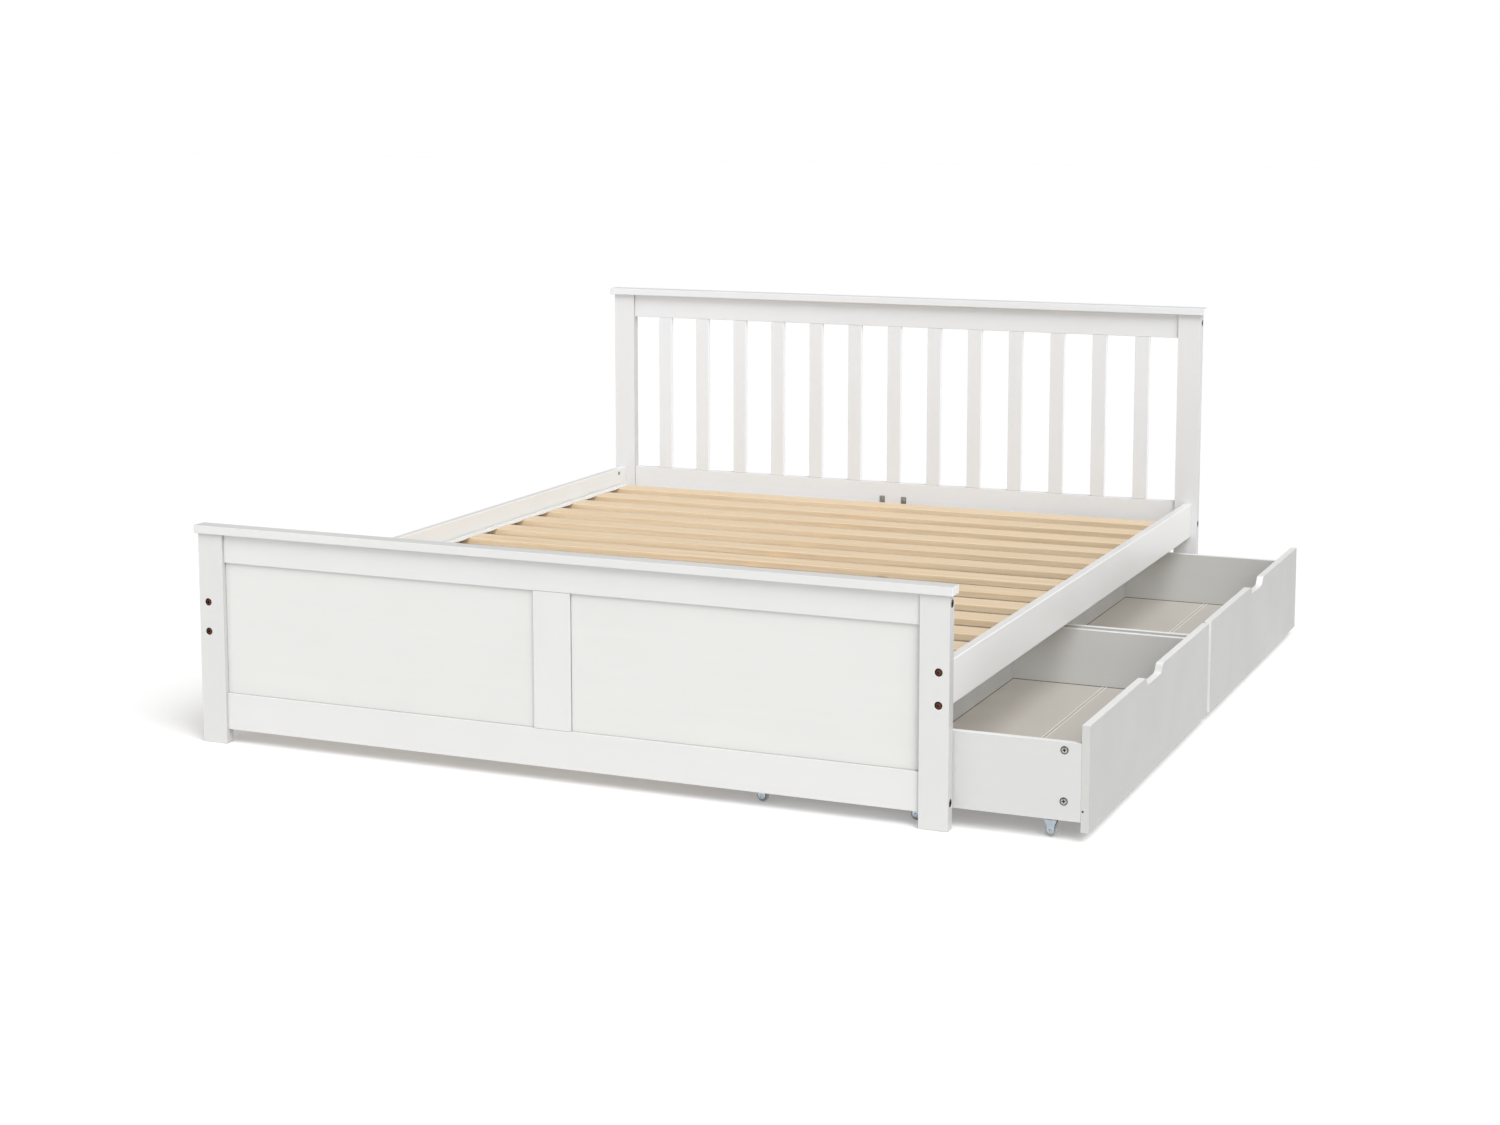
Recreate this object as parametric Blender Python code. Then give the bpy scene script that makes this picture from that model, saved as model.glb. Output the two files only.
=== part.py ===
"""Wooden bed frame with a slatted headboard, a panelled footboard and two under-bed drawers.

Axes: X across the bed (drawers pull out towards +X), Y from foot to head, Z up from the floor.
The drawers are drawn part open; a slide joint in the record closes and opens them.
"""
import math

import bmesh
import bpy
from mathutils import Matrix, Vector

# ---- driving dimensions, metres -------------------------------------------------------
GAP = 0.0003                    # clearance between touching pieces

BED_W = 1.720                   # over the posts
BED_L = 2.070                   # over the posts
POST_W, POST_D = 0.061, 0.025
FOOT_POST_H, HEAD_POST_H = 0.4635, 0.829

CAP_T = 0.018
FOOT_CAP_OVER, HEAD_CAP_OVER = 0.007, 0.010

FRAME_RECESS = 0.006            # rails sit this far behind the face of the posts
FRAME_T = 0.018                 # thickness of the end rails and the stile
FOOT_UPPER_Z = (0.401, FOOT_POST_H)
FOOT_LOWER_Z = (0.0315, 0.112)
HEAD_UPPER_Z = (0.766, HEAD_POST_H)
HEAD_LOWER_Z = (0.246, 0.328)
STILE_W = 0.084
PANEL_RECESS, PANEL_T = 0.012, 0.009

HEAD_SLATS = 13
HEAD_SLAT_W, HEAD_SLAT_T = 0.039, 0.013

SIDE_RAIL_Z = (0.236, 0.326)
SIDE_RAIL_T, SIDE_RAIL_INSET = 0.020, 0.0145
LEDGE_W, LEDGE_H = 0.030, 0.024
BEAM_W, BEAM_H = 0.045, 0.060
LEG_W = 0.045

BED_SLATS = 14
BED_SLAT_W, BED_SLAT_T = 0.070, 0.018
BED_SLAT_BOTTOM_Z = 0.262
BED_SLAT_LENGTH = 1.644
TAPE_W, TAPE_T = 0.025, 0.0015

DRAWER_L = 0.987
DRAWER_START_Y = (-1.006, 0.004)
DRAWER_FRONT_X = (1.1145, 1.130)
DRAWER_FRONT_Z = (0.0215, 0.2305)
DRAWER_BACK_X = 0.395
DRAWER_SIDE_Z = (0.0412, 0.1943)
DRAWER_WALL_T = 0.015
DRAWER_DIVIDER_X = (0.6645, 0.6795)
DRAWER_BASE_Z = (0.061, 0.065)
CLEAT_W, CLEAT_BOTTOM_Z = 0.035, 0.0387
NOTCH_TOP_W, NOTCH_BOTTOM_W, NOTCH_DEPTH = 0.154, 0.100, 0.0185
NOTCH_STEPS = 8

CASTOR_X = {"rear": 0.450, "front": 1.050}
CASTOR_INSET_Y = 0.027
WHEEL_R, WHEEL_HALF_W = 0.012, 0.0045
WHEEL_HUB_R, WHEEL_AXLE_R, WHEEL_AXLE_HALF_W = 0.006, 0.003, 0.0062
WHEEL_STEPS = 32
FORK_INNER, FORK_OUTER = 0.0065, 0.0080
PLATE_HALF_X, PLATE_HALF_Y, PLATE_T = 0.0150, 0.0112, 0.0022
FORK_TOP_HALF_X, FORK_LOW_HALF_X = 0.0112, 0.0068
FORK_LOW_Z = 0.0065

# ---- derived positions ----------------------------------------------------------------
FOOT_Y = -BED_L / 2
HEAD_Y = BED_L / 2
FOOT_INNER_Y = FOOT_Y + POST_D
HEAD_INNER_Y = HEAD_Y - POST_D
POST_INNER_X = BED_W / 2 - POST_W
RAIL_OUTER_X = BED_W / 2 - SIDE_RAIL_INSET
RAIL_INNER_X = RAIL_OUTER_X - SIDE_RAIL_T


def clear_scene():
    for obj in list(bpy.data.objects):
        bpy.data.objects.remove(obj, do_unlink=True)


def make_material(name, colour, roughness, metallic=0.0):
    material = bpy.data.materials.new(name)
    material.use_nodes = True
    shader = material.node_tree.nodes["Principled BSDF"]
    shader.inputs["Base Color"].default_value = (*colour, 1.0)
    shader.inputs["Roughness"].default_value = roughness
    shader.inputs["Metallic"].default_value = metallic
    return material


def add_object(name, mesh, look, origin=(0.0, 0.0, 0.0)):
    """Puts a mesh in the scene with its own material, and its origin at the given point."""
    obj = bpy.data.objects.new(name, mesh)
    obj.location = origin
    bpy.context.scene.collection.objects.link(obj)
    mesh.materials.append(make_material(name + "_surface", *look))
    return obj


def mesh_from(name, points, faces):
    mesh = bpy.data.meshes.new(name)
    mesh.from_pydata([Vector(p) for p in points], [], faces)
    work = bmesh.new()
    work.from_mesh(mesh)
    bmesh.ops.recalc_face_normals(work, faces=work.faces)
    work.to_mesh(mesh)
    work.free()
    return mesh


def box(name, x_range, y_range, z_range, look):
    """A plain board between two limits on each axis."""
    points = [(x, y, z) for x in sorted(x_range) for y in sorted(y_range) for z in sorted(z_range)]
    faces = [(0, 1, 3, 2), (4, 6, 7, 5), (0, 4, 5, 1), (2, 3, 7, 6), (0, 2, 6, 4), (1, 5, 7, 3)]
    return add_object(name, mesh_from(name, points, faces), look)


def prism_x(name, outline, x_range, look):
    """A closed outline in Y and Z, extruded along X."""
    low, high = sorted(x_range)
    count = len(outline)
    points = [(low, y, z) for y, z in outline] + [(high, y, z) for y, z in outline]
    faces = [tuple(range(count)), tuple(range(2 * count - 1, count - 1, -1))]
    for i in range(count):
        j = (i + 1) % count
        faces.append((i, j, count + j, count + i))
    return add_object(name, mesh_from(name, points, faces), look)


def cells(name, xs, ys, zs, is_filled, look):
    """One closed body made of the filled cells of a grid of planes."""
    work = bmesh.new()
    seen = {}

    def corner(i, j, k):
        if (i, j, k) not in seen:
            seen[(i, j, k)] = work.verts.new((xs[i], ys[j], zs[k]))
        return seen[(i, j, k)]

    def filled(i, j, k):
        inside = 0 <= i < len(xs) - 1 and 0 <= j < len(ys) - 1 and 0 <= k < len(zs) - 1
        return inside and is_filled(i, j, k)

    sides = {
        (-1, 0, 0): ((0, 0, 0), (0, 0, 1), (0, 1, 1), (0, 1, 0)),
        (1, 0, 0): ((1, 0, 0), (1, 1, 0), (1, 1, 1), (1, 0, 1)),
        (0, -1, 0): ((0, 0, 0), (1, 0, 0), (1, 0, 1), (0, 0, 1)),
        (0, 1, 0): ((0, 1, 0), (0, 1, 1), (1, 1, 1), (1, 1, 0)),
        (0, 0, -1): ((0, 0, 0), (0, 1, 0), (1, 1, 0), (1, 0, 0)),
        (0, 0, 1): ((0, 0, 1), (1, 0, 1), (1, 1, 1), (0, 1, 1)),
    }
    for i in range(len(xs) - 1):
        for j in range(len(ys) - 1):
            for k in range(len(zs) - 1):
                if not filled(i, j, k):
                    continue
                for (di, dj, dk), quad in sides.items():
                    if not filled(i + di, j + dj, k + dk):
                        work.faces.new([corner(i + a, j + b, k + c) for a, b, c in quad])
    mesh = bpy.data.meshes.new(name)
    work.to_mesh(mesh)
    work.free()
    return add_object(name, mesh, look)


PAINT = ((0.86, 0.86, 0.84), 0.35)
PANEL_PAINT = ((0.84, 0.85, 0.81), 0.40)
BARE_WOOD = ((0.72, 0.55, 0.36), 0.60)
HARDBOARD = ((0.56, 0.53, 0.49), 0.65)
DRAWER_PAINT = ((0.80, 0.80, 0.78), 0.40)
ZINC = ((0.62, 0.65, 0.68), 0.30, 1.0)
WHEEL_PLASTIC = ((0.45, 0.46, 0.46), 0.35)


def build_posts():
    for side, sign in (("left", -1), ("right", 1)):
        x_range = (sign * POST_INNER_X, sign * BED_W / 2)
        foot_y = (FOOT_Y, FOOT_INNER_Y)
        head_y = (HEAD_INNER_Y, HEAD_Y)
        box("footboard_post_" + side, x_range, foot_y, (0.0, FOOT_POST_H), PAINT)
        box("headboard_post_" + side, x_range, head_y, (0.0, HEAD_POST_H), PAINT)


def build_cap(name, y_range, post_height, overhang):
    x_edge = BED_W / 2 + overhang
    y_low, y_high = y_range
    z_low = post_height + GAP
    box(name, (-x_edge, x_edge), (y_low - overhang, y_high + overhang), (z_low, z_low + CAP_T), PAINT)


def build_end_rail(name, front_y, z_range):
    x_edge = POST_INNER_X - GAP
    y_low = front_y + FRAME_RECESS
    box(name, (-x_edge, x_edge), (y_low, y_low + FRAME_T), z_range, PAINT)


def build_headboard():
    build_cap("headboard_cap", (HEAD_INNER_Y, HEAD_Y), HEAD_POST_H, HEAD_CAP_OVER)
    build_end_rail("headboard_upper_rail", HEAD_INNER_Y, HEAD_UPPER_Z)
    build_end_rail("headboard_lower_rail", HEAD_INNER_Y, HEAD_LOWER_Z)
    pitch = (2 * POST_INNER_X + HEAD_SLAT_W) / (HEAD_SLATS + 1)
    middle_y = HEAD_INNER_Y + POST_D / 2
    y_range = (middle_y - HEAD_SLAT_T / 2, middle_y + HEAD_SLAT_T / 2)
    z_range = (HEAD_LOWER_Z[1] + GAP, HEAD_UPPER_Z[0] - GAP)
    for number in range(1, HEAD_SLATS + 1):
        x = (number - (HEAD_SLATS + 1) / 2) * pitch
        x_range = (x - HEAD_SLAT_W / 2, x + HEAD_SLAT_W / 2)
        box(f"headboard_slat_{number:02d}", x_range, y_range, z_range, PAINT)


def build_footboard():
    build_cap("footboard_cap", (FOOT_Y, FOOT_INNER_Y), FOOT_POST_H, FOOT_CAP_OVER)
    build_end_rail("footboard_upper_rail", FOOT_Y, FOOT_UPPER_Z)
    build_end_rail("footboard_lower_rail", FOOT_Y, FOOT_LOWER_Z)
    z_range = (FOOT_LOWER_Z[1] + GAP, FOOT_UPPER_Z[0] - GAP)
    frame_y = FOOT_Y + FRAME_RECESS
    box("footboard_stile", (-STILE_W / 2, STILE_W / 2), (frame_y, frame_y + FRAME_T), z_range, PAINT)
    panel_y = FOOT_Y + PANEL_RECESS
    for side, sign in (("left", -1), ("right", 1)):
        x_range = (sign * (STILE_W / 2 + GAP), sign * (POST_INNER_X - GAP))
        box("footboard_panel_" + side, x_range, (panel_y, panel_y + PANEL_T), z_range, PANEL_PAINT)


def build_sides():
    y_range = (FOOT_INNER_Y + GAP, HEAD_INNER_Y - GAP)
    ledge_top = BED_SLAT_BOTTOM_Z - GAP
    for side, sign in (("left", -1), ("right", 1)):
        x_range = (sign * RAIL_INNER_X, sign * RAIL_OUTER_X)
        box("side_rail_" + side, x_range, y_range, SIDE_RAIL_Z, PAINT)
        ledge_x = (sign * (RAIL_INNER_X - GAP - LEDGE_W), sign * (RAIL_INNER_X - GAP))
        box("slat_ledge_" + side, ledge_x, y_range, (ledge_top - LEDGE_H, ledge_top), BARE_WOOD)


def build_centre_support():
    """The beam under the middle of the slats and its leg, glued into one piece."""
    top = BED_SLAT_BOTTOM_Z - GAP
    beam_start = FOOT_Y + FRAME_RECESS + FRAME_T + GAP
    beam_end = HEAD_INNER_Y + FRAME_RECESS - GAP
    xs = (-BEAM_W / 2, BEAM_W / 2)
    ys = (beam_start, -LEG_W / 2, LEG_W / 2, beam_end)
    zs = (0.0, top - BEAM_H, top)

    def is_filled(i, j, k):
        return k == 1 or j == 1

    cells("centre_support", xs, ys, zs, is_filled, BARE_WOOD)


def build_bed_slats():
    """The roll of slats, held at an even pitch by a webbing tape along their ends."""
    pitch = (HEAD_INNER_Y - FOOT_INNER_Y) / BED_SLATS
    half = BED_SLAT_LENGTH / 2
    xs = (-half, -half + TAPE_W, half - TAPE_W, half)
    ys = []
    for number in range(BED_SLATS):
        middle = FOOT_INNER_Y + (number + 0.5) * pitch
        ys += [middle - BED_SLAT_W / 2, middle + BED_SLAT_W / 2]
    top = BED_SLAT_BOTTOM_Z + BED_SLAT_T
    zs = (BED_SLAT_BOTTOM_Z, top - TAPE_T, top)

    def is_filled(i, j, k):
        on_slat = j % 2 == 0
        on_tape = i in (0, 2) and k == 1
        return on_slat or on_tape

    cells("bed_slats", xs, ys, zs, is_filled, BARE_WOOD)


def notch_outline(middle_y, top_z):
    """The hand notch's edge from low Y to high Y: two eased flanks and a flat bottom."""
    run = (NOTCH_TOP_W - NOTCH_BOTTOM_W) / 2
    left = []
    for step in range(NOTCH_STEPS + 1):
        share = step / NOTCH_STEPS
        drop = NOTCH_DEPTH * (1 - math.cos(math.pi * share)) / 2
        left.append((middle_y - NOTCH_TOP_W / 2 + run * share, top_z - drop))
    right = [(2 * middle_y - y, z) for y, z in reversed(left)]
    return left + right


def build_drawer(name, start_y):
    end_y = start_y + DRAWER_L
    middle_y = (start_y + end_y) / 2
    bottom_z, top_z = DRAWER_FRONT_Z
    outline = [(end_y, top_z), (end_y, bottom_z), (start_y, bottom_z), (start_y, top_z)]
    outline += notch_outline(middle_y, top_z)
    prism_x(name + "_front", outline, DRAWER_FRONT_X, DRAWER_PAINT)

    box_x = (DRAWER_BACK_X, DRAWER_FRONT_X[0] - GAP)
    low_z, high_z = DRAWER_SIDE_Z
    cleat_top = DRAWER_BASE_Z[0] - GAP
    for side, wall_y, inward in (("near", start_y, 1), ("far", end_y, -1)):
        inner_y = wall_y + inward * DRAWER_WALL_T
        cleat_y = inner_y + inward * CLEAT_W
        profile = [
            (wall_y, low_z), (inner_y, low_z), (inner_y, CLEAT_BOTTOM_Z), (cleat_y, CLEAT_BOTTOM_Z),
            (cleat_y, cleat_top), (inner_y, cleat_top), (inner_y, high_z), (wall_y, high_z),
        ]
        prism_x(f"{name}_side_{side}", profile, box_x, DRAWER_PAINT)

    inside_y = (start_y + DRAWER_WALL_T + GAP, end_y - DRAWER_WALL_T - GAP)
    wall_z = (DRAWER_BASE_Z[1] + GAP, high_z)
    box(name + "_base", box_x, inside_y, DRAWER_BASE_Z, HARDBOARD)
    box(name + "_divider", DRAWER_DIVIDER_X, inside_y, wall_z, DRAWER_PAINT)
    box(name + "_back", (DRAWER_BACK_X, DRAWER_BACK_X + DRAWER_WALL_T), inside_y, wall_z, DRAWER_PAINT)


def castor_fork_mesh(name):
    """A mounting plate with two tapering cheeks, drawn round the wheel's axle."""
    top = CLEAT_BOTTOM_Z - GAP - WHEEL_R
    under = top - PLATE_T
    low = FORK_LOW_Z - WHEEL_R
    points = []
    for x_sign in (-1, 1):
        plate_x = x_sign * PLATE_HALF_X
        fork_x = x_sign * FORK_TOP_HALF_X
        tip_x = x_sign * FORK_LOW_HALF_X
        points += [(plate_x, y, z) for y in (-PLATE_HALF_Y, PLATE_HALF_Y) for z in (under, top)]
        cheek_y = (-FORK_OUTER, -FORK_INNER, FORK_INNER, FORK_OUTER)
        points += [(fork_x, y, under) for y in cheek_y]
        points += [(tip_x, y, low) for y in cheek_y]
    # per side: 0-3 plate (y-, under/top, y+, under/top), 4-7 cheek roots, 8-11 cheek tips
    other = 12
    faces = [(1, 3, 2, 0), (1, other + 1, other + 3, 3)]
    faces += [(other, other + 2, other + 3, other + 1)]
    faces += [(0, other, other + 1, 1), (3, other + 3, other + 2, 2)]
    faces += [(0, 2, 7, 6, 5, 4), (other + 4, other + 5, other + 6, other + 7, other + 2, other)]
    faces += [(0, 4, other + 4, other), (2, other + 2, other + 7, 7), (5, 6, other + 6, other + 5)]
    for outer, inner in ((4, 5), (7, 6)):
        faces += [(outer, inner, inner + 4, outer + 4)]
        faces += [(other + outer, other + outer + 4, other + inner + 4, other + inner)]
        faces += [(outer, outer + 4, other + outer + 4, other + outer)]
        faces += [(inner, other + inner, other + inner + 4, inner + 4)]
        faces += [(outer + 4, inner + 4, other + inner + 4, other + outer + 4)]
    return mesh_from(name, points, faces)


def castor_wheel_mesh(name):
    """A small wheel turned about Y, with its axle stubs between the cheeks."""
    edge = 0.0015
    half = [
        (WHEEL_AXLE_R, WHEEL_AXLE_HALF_W), (WHEEL_AXLE_R, WHEEL_HALF_W + edge / 2),
        (WHEEL_HUB_R, WHEEL_HALF_W + edge / 2), (WHEEL_HUB_R, WHEEL_HALF_W - edge / 2),
        (WHEEL_R - 2 * edge, WHEEL_HALF_W - edge / 2), (WHEEL_R - edge, WHEEL_HALF_W),
        (WHEEL_R - edge / 3, WHEEL_HALF_W - edge / 3), (WHEEL_R, WHEEL_HALF_W - edge),
    ]
    profile = half + [(radius, -y) for radius, y in reversed(half)]
    points = []
    for step in range(WHEEL_STEPS):
        angle = 2 * math.pi * (step + 0.5) / WHEEL_STEPS
        points += [(radius * math.sin(angle), y, radius * math.cos(angle)) for radius, y in profile]
    # the flats of the tread reach the full radius at the bottom, so the wheel stands on the floor
    count = len(profile)
    faces = []
    for step in range(WHEEL_STEPS):
        here, there = step * count, (step + 1) % WHEEL_STEPS * count
        for i in range(count - 1):
            faces.append((here + i, here + i + 1, there + i + 1, there + i))
    faces.append(tuple(step * count for step in range(WHEEL_STEPS)))
    faces.append(tuple(step * count + count - 1 for step in reversed(range(WHEEL_STEPS))))
    mesh = mesh_from(name, points, faces)
    mesh.transform(Matrix.Scale(1 / math.cos(math.pi / WHEEL_STEPS), 4, (1, 0, 0)))
    mesh.transform(Matrix.Scale(1 / math.cos(math.pi / WHEEL_STEPS), 4, (0, 0, 1)))
    return mesh


def shade_round(obj):
    for polygon in obj.data.polygons:
        polygon.use_smooth = True
    obj.data.set_sharp_from_angle(angle=math.radians(35))


def build_castors(name, start_y):
    corners = [("near", start_y + CASTOR_INSET_Y), ("far", start_y + DRAWER_L - CASTOR_INSET_Y)]
    for place, x in CASTOR_X.items():
        for side, y in corners:
            axle = (x, y, WHEEL_R)
            stem = f"{name}_castor_{place}_{side}"
            add_object(stem + "_fork", castor_fork_mesh(stem + "_fork"), ZINC, axle)
            wheel = add_object(stem + "_wheel", castor_wheel_mesh(stem + "_wheel"), WHEEL_PLASTIC, axle)
            shade_round(wheel)


def main():
    clear_scene()
    build_posts()
    build_headboard()
    build_footboard()
    build_sides()
    build_centre_support()
    build_bed_slats()
    for name, start_y in zip(("foot_drawer", "head_drawer"), DRAWER_START_Y):
        build_drawer(name, start_y)
        build_castors(name, start_y)


main()
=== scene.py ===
import math

import bmesh
import bpy
from mathutils import Matrix, Vector


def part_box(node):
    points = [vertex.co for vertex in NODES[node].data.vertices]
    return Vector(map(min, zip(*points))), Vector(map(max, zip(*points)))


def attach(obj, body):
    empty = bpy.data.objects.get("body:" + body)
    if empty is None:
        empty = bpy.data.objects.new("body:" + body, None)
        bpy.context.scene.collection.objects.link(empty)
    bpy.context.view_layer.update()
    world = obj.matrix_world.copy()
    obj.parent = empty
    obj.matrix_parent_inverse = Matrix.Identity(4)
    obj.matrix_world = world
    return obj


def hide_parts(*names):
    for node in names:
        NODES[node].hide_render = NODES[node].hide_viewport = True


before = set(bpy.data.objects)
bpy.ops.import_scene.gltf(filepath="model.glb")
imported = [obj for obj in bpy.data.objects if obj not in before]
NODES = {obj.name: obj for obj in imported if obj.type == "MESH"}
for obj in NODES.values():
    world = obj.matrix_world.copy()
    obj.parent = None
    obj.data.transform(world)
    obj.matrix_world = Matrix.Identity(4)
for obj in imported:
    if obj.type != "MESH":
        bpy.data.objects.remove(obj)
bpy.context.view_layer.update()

DRAWERS = ("foot_drawer", "head_drawer")


# ---- materials -------------------------------------------------------------------------
FACING_SPAN = (0.4, 0.85)    # how far a bevelled edge turns while one face's paint fades into the next


def new_material(name):
    """A material with its node tree, its shader and the object's own coordinates."""
    material = bpy.data.materials.new(name)
    material.use_nodes = True
    tree = material.node_tree
    shader = tree.nodes["Principled BSDF"]
    place = tree.nodes.new("ShaderNodeTexCoord").outputs["Object"]
    return material, tree, shader, place


def stretched(tree, place, scale):
    """The coordinates scaled along each axis, which draws a texture out along the smaller ones."""
    mapping = tree.nodes.new("ShaderNodeMapping")
    mapping.inputs["Scale"].default_value = scale
    tree.links.new(place, mapping.inputs["Vector"])
    return mapping.outputs["Vector"]


def noise(tree, place, scale, detail=3.0, roughness=0.5, distortion=0.0):
    """The value of a noise texture."""
    node = tree.nodes.new("ShaderNodeTexNoise")
    node.inputs["Scale"].default_value = scale
    node.inputs["Detail"].default_value = detail
    node.inputs["Roughness"].default_value = roughness
    node.inputs["Distortion"].default_value = distortion
    tree.links.new(place, node.inputs["Vector"])
    return node.outputs["Fac"]


def spread(tree, value, low, high, start=0.3, end=0.7):
    """Maps a texture's value from start..end to low..high."""
    node = tree.nodes.new("ShaderNodeMapRange")
    node.inputs["From Min"].default_value = start
    node.inputs["From Max"].default_value = end
    node.inputs["To Min"].default_value = low
    node.inputs["To Max"].default_value = high
    tree.links.new(value, node.inputs["Value"])
    return node.outputs["Result"]


def tones(tree, value, *stops):
    """A colour ramp through (position, colour) stops."""
    node = tree.nodes.new("ShaderNodeValToRGB")
    ramp = node.color_ramp
    while len(ramp.elements) < len(stops):
        ramp.elements.new(0.5)
    for element, (position, colour) in zip(ramp.elements, stops):
        element.position = position
        element.color = (*colour, 1.0)
    tree.links.new(value, node.inputs["Fac"])
    return node.outputs["Color"]


def mixed(tree, factor, first, second):
    """A blend of two colours; each argument is a socket or a plain value."""
    node = tree.nodes.new("ShaderNodeMix")
    node.data_type = "RGBA"
    for socket_name, value in (("Factor", factor), ("A", first), ("B", second)):
        socket = node.inputs[socket_name]
        if isinstance(value, bpy.types.NodeSocket):
            tree.links.new(value, socket)
        else:
            socket.default_value = value
    return node.outputs["Result"]


def add_bump(tree, shader, *layers):
    """Stacks (height, depth in metres, strength) layers of bump into the shader's normal."""
    normal = None
    for height, depth, strength in layers:
        bump = tree.nodes.new("ShaderNodeBump")
        bump.inputs["Distance"].default_value = depth
        bump.inputs["Strength"].default_value = strength
        tree.links.new(height, bump.inputs["Height"])
        if normal is not None:
            tree.links.new(normal, bump.inputs["Normal"])
        normal = bump.outputs["Normal"]
    tree.links.new(normal, shader.inputs["Normal"])


def along(axis, across, lengthwise):
    """A texture scale that is drawn out along one axis, as wood grain is."""
    return tuple(lengthwise if name == axis else across for name in "xyz")


def turned_to(tree, axis, low, high):
    """A value that goes from low to high as the surface turns to face along one axis of the object."""
    split = tree.nodes.new("ShaderNodeSeparateXYZ")
    tree.links.new(tree.nodes["Texture Coordinate"].outputs["Normal"], split.inputs["Vector"])
    turned = tree.nodes.new("ShaderNodeMath")
    turned.operation = "ABSOLUTE"
    tree.links.new(split.outputs[axis.upper()], turned.inputs[0])
    return spread(tree, turned.outputs["Value"], low, high, *FACING_SPAN)


def painted_wood(name, colour, axis, grain=0.35, shine=0.34, edge_shading=None, face="x", end_shading=None):
    """Satin paint with the grain faintly through it. The faces turned off one axis, and the end faces, may
    take their own tones, which are painted light and shade by the way each face turns.
    """
    material, tree, shader, place = new_material(name)
    pores = noise(tree, stretched(tree, place, along(axis, 1.0, 0.035)), 420.0, 4.0, 0.62)
    bands = noise(tree, stretched(tree, place, along(axis, 1.0, 0.05)), 38.0, 3.0, 0.5, 0.6)
    peel = noise(tree, place, 1100.0, 2.0, 0.5)
    cloud = noise(tree, place, 5.0, 3.0, 0.55)
    light = tuple(min(1.0, c * 1.012) for c in colour)
    dim = tuple(c * 0.975 for c in colour)
    base = tones(tree, cloud, (0.30, dim), (0.70, light))
    faint = tones(tree, bands, (0.25, tuple(c * 0.97 for c in colour)), (0.75, light))
    paint = mixed(tree, 0.45, base, faint)
    # Painted light and shade: one tone on the faces turned off the face axis, and another on the end faces.
    if edge_shading:
        paint = mixed(tree, turned_to(tree, face, 1.0, 0.0), paint, (*edge_shading, 1.0))
    if end_shading:
        paint = mixed(tree, turned_to(tree, axis, 0.0, 1.0), paint, (*end_shading, 1.0))
    tree.links.new(paint, shader.inputs["Base Color"])
    tree.links.new(spread(tree, cloud, shine - 0.04, shine + 0.07), shader.inputs["Roughness"])
    shader.inputs["Coat Weight"].default_value = 0.12
    shader.inputs["Coat Roughness"].default_value = 0.28
    add_bump(tree, shader, (bands, 0.0004, grain * 0.5), (pores, 0.00018, grain), (peel, 0.00006, 0.25))
    return material


def hardboard(name, colour):
    """Pressed fibre: a fine fleck over slow blotches, matt."""
    material, tree, shader, place = new_material(name)
    fleck = noise(tree, place, 900.0, 5.0, 0.7)
    fibre = noise(tree, stretched(tree, place, (1.0, 0.3, 1.0)), 260.0, 4.0, 0.6, 1.5)
    blotch = noise(tree, place, 6.0, 3.0, 0.5)
    low = tuple(c * 0.90 for c in colour)
    high = tuple(min(1.0, c * 1.07) for c in colour)
    base = tones(tree, blotch, (0.3, tuple(c * 0.96 for c in colour)), (0.7, colour))
    detail = tones(tree, fleck, (0.35, low), (0.65, high))
    tree.links.new(mixed(tree, 0.35, base, detail), shader.inputs["Base Color"])
    tree.links.new(spread(tree, blotch, 0.48, 0.62), shader.inputs["Roughness"])
    add_bump(tree, shader, (fibre, 0.0002, 0.35), (fleck, 0.00008, 0.3))
    return material


def bare_pine(name, axis, pale, dark):
    """Planed pine: drawn-out rings, fine pores, a knot here and there."""
    material, tree, shader, place = new_material(name)
    warp = noise(tree, stretched(tree, place, along(axis, 1.0, 0.18)), 9.0, 3.0, 0.55)
    rings = tree.nodes.new("ShaderNodeTexWave")
    rings.wave_type = "RINGS"
    rings.rings_direction = axis.upper()
    rings.inputs["Scale"].default_value = 26.0
    rings.inputs["Distortion"].default_value = 7.0
    rings.inputs["Detail"].default_value = 3.0
    rings.inputs["Detail Scale"].default_value = 1.2
    tree.links.new(stretched(tree, place, along(axis, 1.0, 0.07)), rings.inputs["Vector"])
    pores = noise(tree, stretched(tree, place, along(axis, 1.0, 0.03)), 650.0, 3.0, 0.6)
    knots = tree.nodes.new("ShaderNodeTexVoronoi")
    knots.inputs["Scale"].default_value = 3.4
    tree.links.new(stretched(tree, place, along(axis, 1.0, 0.55)), knots.inputs["Vector"])
    knot = spread(tree, knots.outputs["Distance"], 1.0, 0.0, 0.02, 0.055)
    middle = tuple((a + b) / 2 for a, b in zip(pale, dark))
    base = tones(tree, rings.outputs["Fac"], (0.15, pale), (0.72, middle), (0.95, dark))
    slow = tones(tree, warp, (0.3, middle), (0.7, pale))
    fine = tones(tree, pores, (0.35, middle), (0.6, pale))
    wood = mixed(tree, 0.45, mixed(tree, 0.5, base, slow), fine)
    knot_colour = (dark[0] * 0.45, dark[1] * 0.38, dark[2] * 0.30, 1.0)
    tree.links.new(mixed(tree, knot, wood, knot_colour), shader.inputs["Base Color"])
    tree.links.new(spread(tree, pores, 0.46, 0.60), shader.inputs["Roughness"])
    add_bump(tree, shader, (rings.outputs["Fac"], 0.0002, 0.25), (pores, 0.00015, 0.5))
    return material


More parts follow.
